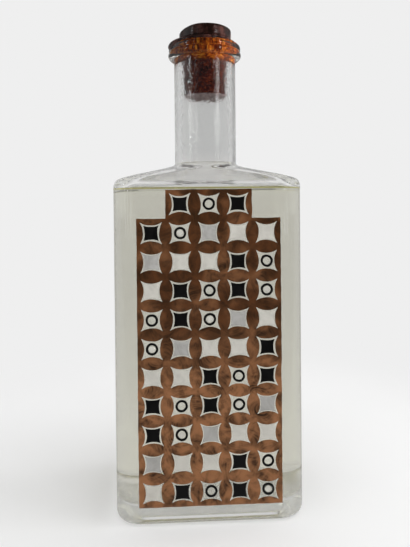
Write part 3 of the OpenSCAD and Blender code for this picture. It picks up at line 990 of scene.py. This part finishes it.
@dataclass
class WaxCap:
    """The wax: a puddle over cork and lip, a thick disc on top and a run over the lip's left edge."""

    glass: BottleGlass
    radius: float = 12.5 * MM
    rim: float = 1.2 * MM
    throat_in: float = 0.5 * MM
    film: float = 1.25 * MM
    seat: float = 0.02 * MM
    spread: float = 1.3 * MM
    run_way: float = 200.0
    run_width: float = 30.0
    run_length: float = 3.8 * MM
    lean: float = 0.3 * MM
    slump: float = 1.7 * MM
    thinning: float = 0.45
    thinnest: float = 0.03 * MM
    soft: float = 0.6 * MM
    crown: float = 0.35 * MM
    side_dents: float = 0.22 * MM
    top_dents: float = 0.15 * MM
    around: int = 240

    def lip_path(self, run: np.ndarray) -> tuple[np.ndarray, np.ndarray]:
        """Returns points and outward normals along the lip, at distances from the end of its flat top."""
        edge, lip, top = self.glass.lip_edge, self.glass.lip, self.glass.top
        bend = edge * math.pi / 2
        turn = np.clip(run / edge, 0.0, math.pi / 2)
        flat, fall = np.minimum(run, 0.0), np.maximum(run - bend, 0.0)
        radius = lip - edge + edge * np.sin(turn) + flat
        height = top - edge + edge * np.cos(turn) - fall
        return np.stack([radius, height], axis=-1), np.stack([np.sin(turn), np.cos(turn)], axis=-1)

    def reach(self, turns: np.ndarray) -> np.ndarray:
        """Returns how far past the lip's flat top the film reaches, in each direction."""
        circle = np.stack([np.cos(turns), np.sin(turns), np.zeros_like(turns)], axis=1) * 15 * MM
        uneven = Ripples(9 * MM, seed=42).at(circle)
        away = np.abs((np.degrees(turns) - self.run_way + 180.0) % 360.0 - 180.0)
        run = smooth(1.0 - away / self.run_width)
        spread = self.spread - 1.1 * MM * self.rightness(turns) + 0.4 * MM * uneven
        return spread + (self.run_length - self.spread) * run

    def rightness(self, turns: np.ndarray) -> np.ndarray:
        """Returns how far each direction looks to the right, where the wax is thin."""
        return held(np.cos(turns))

    def rings(self, points: list[Pair]) -> list[np.ndarray]:
        """Returns each point of a side view once for every direction."""
        return [np.tile(point, (self.around, 1)) for point in points]

    def film_on_lip(self, turns: np.ndarray) -> list[np.ndarray]:
        """Returns the film on the lip, outwards along its underside and back over its top."""
        reach, flat = self.reach(turns), self.glass.lip - self.glass.lip_edge
        inner, outer = self.glass.mouth + self.glass.mouth_soft - flat, self.radius - flat
        under, over = [], []
        for share in np.linspace(0.0, 1.0, 18):
            place, normal = self.lip_path(inner + (reach - inner) * share)
            under.append(place + normal * np.where(place[:, :1] > self.radius, self.seat, -self.seat))
            run = outer + (reach - outer) * share
            place, normal = self.lip_path(run)
            thick = self.film * math.sqrt(max(1.0 - share**3, 0.0))
            thick = thick * (1.0 - self.thinning * held(run / (3 * MM)))
            thick *= 1.0 - self.thinning * self.rightness(turns)
            over.append(place + normal * np.maximum(thick, self.thinnest)[:, None])
        return under + over[::-1]

    def disc_side(self, skirt_z: float, top: float) -> list[Pair]:
        """Returns the side view of the thick disc, from its throat to the middle of its top."""
        throat, soft = self.radius - self.throat_in, self.soft
        side = [(throat + 0.3 * MM, skirt_z + 0.12 * MM), (throat, skirt_z + 0.5 * MM),
                (throat + 0.05 * MM, skirt_z + 0.95 * MM)]
        side += arc((self.radius - soft, skirt_z + 2.0 * MM), soft, -70.0, 0.0, 4)
        side += [(self.radius, z) for z in np.linspace(skirt_z + 2.6 * MM, top - self.rim - soft, 4)]
        side += arc((self.radius - self.rim, top - self.crown - self.rim), self.rim, 0.0, 90.0, 7)
        return side + [(r * self.radius, top - self.crown * r * r) for r in (0.8, 0.6, 0.4, 0.2, 0.03)]

    def slumped(self, points: np.ndarray, ways: np.ndarray, skirt_z: float, top: float) -> np.ndarray:
        """Returns the points with the disc sunk to the left, leaning and dented."""
        above = held((points[..., 2] - skirt_z) / (2 * MM))
        tall = held((points[..., 2] - skirt_z) / (top - skirt_z))
        sunk = held(-points[..., 0] / self.radius)
        dents = self.side_dents * above * Ripples(8 * MM, seed=77).raised(points)
        points[..., 2] -= self.slump * (tall * sunk) ** 2
        points[..., 0] += above * self.lean
        points[..., :2] -= ways * dents[..., None]
        points[..., 2] -= self.top_dents * above * Ripples(11 * MM, seed=78).raised(points)
        return points

    def build(self) -> Piece:
        """Builds the closed skin of the wax and returns it."""
        glass, soft = self.glass, self.glass.mouth_soft
        top, cork_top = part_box("wax_seal")[1].z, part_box("cork_stopper")[1].z
        skirt_z = glass.top + self.film
        turns = np.linspace(0.0, math.tau, self.around, endpoint=False)
        plug = [(r, cork_top) for r in (0.4 * MM, 5 * MM, 10.2 * MM)]
        plug += arc((glass.mouth + soft, glass.top - soft), soft - self.seat, 176.0, 92.0, 5)
        side = self.rings(self.disc_side(skirt_z, top))
        table = np.array(self.rings(plug) + self.film_on_lip(turns) + side)
        ways = directions(turns)[None]
        points = np.concatenate([ways * table[..., :1], table[..., 1:]], axis=2)
        return skin("wax_cap", self.slumped(points, ways, skirt_z, top))


class Edge(Enum):
    """Where a painted motif begins or ends."""

    MIDDLE = "middle"
    ROUND = "round"
    STAR = "star"
    SQUARE = "square"


@dataclass(frozen=True)
class Motif:
    """One painted shape that fills or surrounds the stars of the lattice."""

    name: str
    node: str
    fillings: tuple[int, ...]
    inner: Edge
    outer: Edge
    inner_size: float = 0.0
    outer_size: float = 0.0


@dataclass
class EnamelPanel:
    """The enamelled panel: interlaced circles leave four-pointed stars, which hold stars, rings and dots."""

    pitch: float = 12.4 * MM
    overlap: float = 0.25 * MM
    columns: int = 5
    rows: int = 10
    crest: int = 3
    star_gap: float = 0.45 * MM
    ring_gap: float = 0.7 * MM
    ring_width: float = 1.0 * MM
    wobble: float = 0.28 * MM
    drift_scale: float = 210.0
    seed_step: float = 0.37
    weld: float = 0.002 * MM
    stand_off: float = 0.01 * MM
    around: int = 64
    foot: float = field(init=False)
    face: float = field(init=False)
    thickness: float = field(init=False)

    def __post_init__(self) -> None:
        """Takes the panel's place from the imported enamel."""
        low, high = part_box("enamel_brown")
        self.foot, self.face = low.z, high.y - self.stand_off
        self.thickness = high.y - low.y - 2 * self.stand_off
        self.circle = self.pitch / math.sqrt(2) + self.overlap

    def motifs(self) -> list[Motif]:
        """Returns the motifs, with the fillings that show them."""
        ring = self.pitch - self.circle - self.ring_gap
        hole = ring - self.ring_width
        dot = hole - self.star_gap
        every, star = tuple(range(7)), self.star_gap
        return [
            Motif("paint_lattice", "enamel_brown", every, Edge.STAR, Edge.SQUARE),
            Motif("paint_rings", "enamel_black", (1, 4), Edge.ROUND, Edge.ROUND, hole, ring),
            Motif("paint_lozenges", "enamel_black", (2, 6), Edge.MIDDLE, Edge.STAR, 0.0, self.ring_gap),
            Motif("paint_stars", "enamel_white", (0, 5), Edge.MIDDLE, Edge.STAR, 0.0, star),
            Motif("paint_dots", "enamel_white", (1,), Edge.MIDDLE, Edge.ROUND, 0.0, dot),
            Motif("paint_veils", "enamel_grey", (3,), Edge.MIDDLE, Edge.STAR, 0.0, star),
        ]

    def places(self, fillings: tuple[int, ...]) -> list[Place]:
        """Returns the middles of the stars that have one of the fillings."""
        found = []
        for row in range(self.rows + 1):
            across = self.columns if row < self.rows else self.crest
            for column in range(across):
                if (2 * column + 3 * row) % 7 in fillings:
                    found.append(((column - (across - 1) / 2) * self.pitch, self.face,
                                  self.foot + (row + 0.5) * self.pitch))
        return found

    def reach(self, s: Sketch, edge: Edge, turn: Socket, size: Socket) -> object:
        """Returns how far an edge lies from the middle of the motif, by the turn folded into one eighth.

        Args:
            s: sketch of the geometry tree.
            edge: the kind of edge.
            turn: direction, from -45 to 45 degrees off the nearest axis, in radians.
            size: gap or radius of the edge.
        """
        if edge is Edge.MIDDLE:
            return 0.0
        if edge is Edge.ROUND:
            return size
        cosine = s.math("COSINE", turn)
        square = s.math("DIVIDE", s.minus(self.pitch / 2, size), cosine)
        if edge is Edge.SQUARE:
            return square
        along = s.times(cosine, self.pitch)
        circle = s.plus(size, self.circle)
        rest = s.minus(self.pitch**2, s.times(circle, circle))
        under = s.most(s.minus(s.times(along, along), rest), 0.0)
        return s.math("MINIMUM", s.minus(along, s.math("SQRT", under)), square)

    def tree(self, motif: Motif, material: Material) -> Tree:
        """Builds the tree that paints a motif at every point that it is given."""
        s, use = growth(motif.name, ("Inner Size", "Outer Size", "Thickness", "Wobble"))
        sheet = s.get("GeometryNodeMeshGrid", 1.0, 1.0, self.around + 1, 7)
        spot = s.axes(s.get("GeometryNodeInputPosition"))
        turn = s.times(spot["X"], -math.tau)
        folded = s.math("WRAP", turn, math.pi / 4, -math.pi / 4)
        inner = self.reach(s, motif.inner, folded, use["Inner Size"])
        outer = self.reach(s, motif.outer, folded, use["Outer Size"])
        share = s.plus(spot["Y"], 0.5)
        reach = s.plus(s.times(s.minus(1.0, share), inner), s.times(share, outer))
        place = s.point(s.times(s.math("COSINE", turn), reach), 0.0, s.times(s.math("SINE", turn), reach))
        shape = s.get("GeometryNodeSetPosition", sheet, Position=place)
        shape = s.get("GeometryNodeMergeByDistance", shape, Distance=self.weld)
        laid = s.get("GeometryNodeInstanceOnPoints", Points=use["Geometry"], Instance=shape)
        laid = s.get("GeometryNodeRealizeInstances", laid)
        laid = s.get("GeometryNodeMergeByDistance", laid, Distance=2 * self.weld)
        moved = s.vector("ADD", s.get("GeometryNodeInputPosition"),
                         s.point(0.0, s.times(use["Seed"], self.seed_step), 0.0))
        drift = s.node("ShaderNodeTexNoise", Vector=moved, Scale=self.drift_scale, Detail=1.5)
        drift = s.axes(s.vector("SUBTRACT", drift.outputs["Color"], (0.5, 0.5, 0.5)))
        push = s.point(s.times(drift["X"], use["Wobble"]), 0.0, s.times(drift["Z"], use["Wobble"]))
        laid = s.get("GeometryNodeSetPosition", laid, Offset=push)
        film = s.get("GeometryNodeExtrudeMesh", laid, Offset=(0.0, -1.0, 0.0), Offset_Scale=use["Thickness"],
                     Individual=False, mode="FACES")
        whole = s.join(film, s.get("GeometryNodeFlipFaces", laid))
        closed = s.get("GeometryNodeMergeByDistance", whole, Distance=self.weld)
        done = s.get("GeometryNodeRealizeInstances", closed)
        s.node("NodeGroupOutput", s.get("GeometryNodeSetMaterial", done, Material=material))
        return s.tree

    def build(self, motif: Motif, seed: int, material: Material) -> Piece:
        """Paints one motif in all its places and returns the piece."""
        spots = drawn(motif.name, self.places(motif.fillings), [])
        return grown_by(spots, self.tree(motif, material), {
            "Inner Size": motif.inner_size, "Outer Size": motif.outer_size, "Thickness": self.thickness,
            "Wobble": self.wobble * 2, "Seed": seed})


@dataclass
class Studio:
    """The pale floor and surround, the soft lights and the camera.

    A room is how bright the surround shows where the glass mirrors it. A pair with an axis in its name gives
    the two parts of a direction between which one room gives way to another.
    """

    floor_half: float = 3.0
    foot_half: Pair = (40 * MM, 25 * MM)
    floor_drop: float = 0.05 * MM
    near: float = 0.11
    far: float = 0.23
    dark_room: float = 0.03
    pale_room: float = 0.42
    side_room: float = 0.50
    deep_room: float = 0.72
    lost_room: float = 0.68
    card_room: float = 0.40
    lofty_room: float = 0.96
    deep_front: float = 0.55
    deep_dark: float = 0.09
    climb: float = 0.6
    skin_y: Pair = (0.2, 0.95)
    skin_x: Pair = (0.70, 0.88)
    deep_y: Pair = (-0.5, 0.25)
    steep_z: Pair = (0.3, 0.5)
    lofty_x: Pair = (0.45, 0.6)
    lofty_y: Pair = (0.2, 0.4)
    lofty_z: Pair = (0.45, 0.6)
    card_left_x: Pair = (-0.02, 0.02)
    card_right_x: Pair = (0.45, 0.6)
    card_y: Pair = (0.7, 0.8)
    card_top_z: Pair = (0.4, 0.5)
    floor_y: Pair = (-0.16, -0.03)
    # painted shadow: how dim the floor shows through the glass under the bottle's foot
    heel_shade: float = 0.90
    heel_reach: float = 9 * MM
    grain_scale: float = 60.0
    grain: float = 0.003
    # painted light: plain pale light mixed into the floor round the bottle's foot, in place of light that the
    # glass would carry there
    painted_heel_light: float = 0.45
    painted_heel_light_reach: float = 12 * MM
    camera_place: Place = (-10.55 * MM, -237.49 * MM, 143.03 * MM)
    camera_right: Place = (0.99867, -0.05068, -0.00900)
    camera_up: Place = (0.00960, 0.01153, 0.99989)
    camera_ahead: Place = (0.05057, 0.99865, -0.01200)
    focal_px: float = 491.54
    middle_px: Pair = (208.92, 199.79)
    photo_px: tuple[int, int] = (410, 547)

    def level(self, s: Sketch, skin_room: Socket, deep: Socket) -> Socket:
        """Returns how bright the surround shows: plainly pale where it is seen straight or through glass.

        Args:
            s: sketch of the tree.
            skin_room: how bright it is as the skin of the glass mirrors it.
            deep: how bright it is as the glass mirrors it inside, once.
        """
        rays = s.rays()
        within = s.math("MINIMUM", rays["Transmission Depth"], 1.0)
        room = s.blend(within, skin_room, deep)
        room = s.blend(s.span(rays["Glossy Depth"], 1.0, 2.0), room, self.lost_room)
        return s.blend(s.math("MINIMUM", rays["Glossy Depth"], 1.0), PALE, room)

    def floor(self) -> None:
        """Makes the floor: lit near the bottle, where its shadow falls, and plainly pale further out, with
        painted light round the bottle's foot and a painted shadow under it where seen through the glass.
        """
        material, s, shader = Finish().begin("pale_floor", Roughness=0.9, Specular_IOR_Level=0.0)
        where = s.here()
        grain = s.span(s.noise(where, self.grain_scale, 3.0), 0.0, 1.0, PALE - self.grain, PALE + self.grain)
        s.feed(shader, Base_Color=s.get("ShaderNodeCombineColor", grain, grain, grain))
        away = s.node("ShaderNodeVectorMath", where, operation="LENGTH").outputs["Value"]
        rays = s.rays()
        place = s.axes(where)
        beside = [s.most(s.minus(s.math("ABSOLUTE", place[axis]), half), 0.0)
                  for axis, half in (("X", self.foot_half[0]), ("Y", self.foot_half[1]))]
        gone = s.math("SQRT", s.plus(*(s.math("POWER", side, 2.0) for side in beside)))
        # painted light: the floor turns plainly pale near the bottle's foot
        painted_heel_light = s.span(gone, 0.0, self.painted_heel_light_reach, self.painted_heel_light, 0.0)
        seen = s.times(s.most(s.span(away, self.near, self.far), painted_heel_light), rays["Is Camera Ray"])
        share = s.most(seen, s.most(rays["Is Glossy Ray"], rays["Is Transmission Ray"]))
        # painted shadow: dims the floor seen through the glass under and round the bottle's foot
        painted_shade = s.blend(rays["Is Camera Ray"], s.span(gone, 0.0, self.heel_reach, self.heel_shade), 1.0)
        behind = s.span(place["Y"], *self.floor_y)
        room = self.level(s, s.span(behind, 0.0, 1.0, self.dark_room, self.pale_room, smooth=False),
                          s.span(behind, 0.0, 1.0, self.deep_front, self.deep_room, smooth=False))
        plain = s.get("ShaderNodeEmission", (1.0, 1.0, 1.0, 1.0), s.times(room, painted_shade))
        both = s.get("ShaderNodeMixShader", share, shader.outputs["BSDF"], plain)
        s.feed(s.tree.nodes["Material Output"], Surface=both)
        half, low = self.floor_half, -self.floor_drop
        corners = [(-half, -half, low), (half, -half, low), (half, half, low), (-half, half, low)]
        floor = drawn("floor", corners, [(0, 1, 2, 3)])
        floor.data.materials.append(material)

    def surround(self, fill: float = 0.35) -> None:
        """Makes the world: plainly pale where it shows, and a soft fill light elsewhere."""
        world = bpy.data.worlds.new("studio")
        bpy.context.scene.world = world
        world.use_nodes = True
        s = Sketch(world.node_tree)
        s.tree.nodes.clear()
        rays = s.rays()
        seen = s.most(s.most(rays["Is Glossy Ray"], rays["Is Transmission Ray"]), rays["Is Camera Ray"])
        way = s.axes(s.node("ShaderNodeTexCoord").outputs["Generated"])
        along = s.minus(way["Y"], s.times(way["Z"], self.climb))
        aside = s.math("ABSOLUTE", way["X"])
        steep = s.span(s.math("ABSOLUTE", way["Z"]), *self.steep_z)
        beside = s.span(aside, *self.skin_x, 0.0, self.side_room)
        skin_room = s.most(s.span(along, *self.skin_y, self.dark_room, self.pale_room), beside)
        ahead = s.blend(steep, self.deep_dark, self.deep_front)
        deep = s.span(along, *self.deep_y, ahead, self.deep_room)
        outward = s.most(s.span(way["Y"], *self.lofty_y), s.span(aside, *self.lofty_x))
        deep = s.blend(s.times(s.span(way["Z"], *self.lofty_z), outward), deep, self.lofty_room)
        card = s.times(s.span(way["X"], *self.card_left_x), s.span(way["X"], *self.card_right_x, 1.0, 0.0))
        low_card = s.times(s.span(way["Y"], *self.card_y), s.span(way["Z"], *self.card_top_z, 1.0, 0.0))
        deep = s.blend(s.times(card, low_card), deep, self.card_room)
        level = s.blend(seen, fill, self.level(s, skin_room, deep))
        s.node("ShaderNodeOutputWorld", s.get("ShaderNodeBackground", (1.0, 1.0, 1.0, 1.0), level))

    def soft_light(self, name: str, turn: float, distance: float, height: float, size: Pair,
                   radiance: float, mirrored: bool = True, spread: float = 180.0,
                   aim_z: float = 0.11) -> None:
        """Hangs a soft box that faces the bottle.

        Args:
            name: name of the light.
            turn: direction from the bottle, in degrees from the camera's side towards +X.
            distance: distance from the bottle's axis.
            height: height of its middle.
            size: its width and height.
            radiance: how bright its face is.
            mirrored: whether the glass and the wax mirror it.
            spread: how wide its beam is, in degrees.
            aim_z: height that it faces.
        """
        light = bpy.data.lights.new(name, "AREA")
        light.shape = "RECTANGLE"
        light.size, light.size_y = size
        light.energy = radiance * math.pi * size[0] * size[1]
        light.spread = math.radians(spread)
        lamp = placed(name, light)
        lamp.visible_glossy = lamp.visible_transmission = mirrored
        angle = math.radians(turn)
        place = Vector((math.sin(angle) * distance, -math.cos(angle) * distance, height))
        facing = (Vector((0.0, 0.0, aim_z)) - place).to_track_quat("-Z", "Y")
        lamp.matrix_world = Matrix.Translation(place) @ facing.to_matrix().to_4x4()

    def camera(self) -> None:
        """Sets the camera where the photograph was taken from."""
        data = bpy.data.cameras.new("camera")
        width, height = self.photo_px
        data.sensor_fit = "AUTO"
        data.sensor_width = 36.0
        data.lens = data.sensor_width * self.focal_px / max(width, height)
        data.shift_x = (width / 2 - self.middle_px[0]) / max(width, height)
        data.shift_y = (self.middle_px[1] - height / 2) / max(width, height)
        data.clip_start = 0.01
        camera = placed("camera", data)
        axes = Matrix((self.camera_right, self.camera_up, [-c for c in self.camera_ahead])).transposed()
        camera.matrix_world = Matrix.Translation(Vector(self.camera_place)) @ axes.to_4x4()
        bpy.context.scene.camera = camera

    def build(self) -> None:
        """Sets up the studio."""
        self.floor()
        self.surround()
        self.soft_light("left_strip", -61.0, 1.4, 0.45, (0.05, 1.5), 2.2)
        self.soft_light("left_inner_strip", -36.0, 1.4, 0.45, (0.06, 1.5), 1.2)
        self.soft_light("right_strip", 47.0, 1.4, 0.45, (0.07, 1.5), 2.2)
        self.soft_light("left_spark", -61.0, 1.3, 0.46, (0.07, 0.26), 10.0)
        self.soft_light("right_spark", 47.0, 1.3, 0.46, (0.10, 0.26), 9.0)
        self.soft_light("right_key", 84.0, 0.9, 1.15, (0.75, 0.75), 3.8, mirrored=False)
        self.soft_light("right_neck_beam", 84.0, 0.6, 0.21, (0.10, 0.10), 5.0, mirrored=False, spread=24.0,
                        aim_z=0.21)
        self.soft_light("back_lamp", 180.0, 1.2, 0.30, (0.8, 0.5), 1.6, mirrored=False)
        self.soft_light("top_box", 0.0, 0.25, 1.5, (1.4, 1.4), 2.1, mirrored=False)
        self.camera()


def main() -> None:
    """Builds the studio and every piece of the bottle."""
    logging.basicConfig(level=logging.INFO, format="%(name)s: %(message)s")
    scene = bpy.context.scene
    scene.view_settings.view_transform = "Standard"
    scene.cycles.max_bounces = 48
    scene.cycles.transmission_bounces = 40
    scene.cycles.glossy_bounces = 40
    scene.cycles.transparent_max_bounces = 32
    Studio().build()
    brushwork, ripple = brushwork_group(), ripple_group()

    glass = BottleGlass(Loft(half_x=42 * MM, half_y=27 * MM, corner=11.5 * MM))
    settle(glass.build(), ClearGlass().material(ripple), "bottle", "glass_bottle")
    fill = SpiritFill(glass)
    settle(fill.build(), PaleSpirit(fill.level).material(), "bottle", "spirit")
    stopper = CorkStopper(glass)
    cork = CorkPaintedLightAndShade(stopper.grip_z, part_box("cork_stopper")[0].z).material()
    settle(stopper.build(cork), None, "stopper", "cork_stopper")
    settle(WaxCap(glass).build(), SealingWax().material(ripple), "seal", "wax_seal")

    enamels = {
        "enamel_brown": Enamel("brown_enamel", dark=(0.033, 0.015, 0.006), light=(0.105, 0.036, 0.010),
                               foot=(0.33, 0.145, 0.062)),
        "enamel_black": Enamel("black_enamel", dark=(0.004, 0.004, 0.004), light=(0.008, 0.007, 0.007),
                               foot=(0.006, 0.006, 0.006)),
        "enamel_white": Enamel("white_enamel", dark=(0.55, 0.53, 0.48), light=(0.68, 0.66, 0.60),
                               foot=(0.65, 0.63, 0.57)),
        "enamel_grey": Enamel("grey_enamel", dark=(0.36, 0.35, 0.33), light=(0.50, 0.49, 0.47),
                              foot=(0.45, 0.44, 0.42)),
    }
    coats = {node: enamel.material(brushwork) for node, enamel in enamels.items()}
    panel = EnamelPanel()
    for seed, motif in enumerate(panel.motifs()):
        settle(panel.build(motif, seed, coats[motif.node]), None, "bottle", motif.node)


if __name__ == "__main__":
    main()
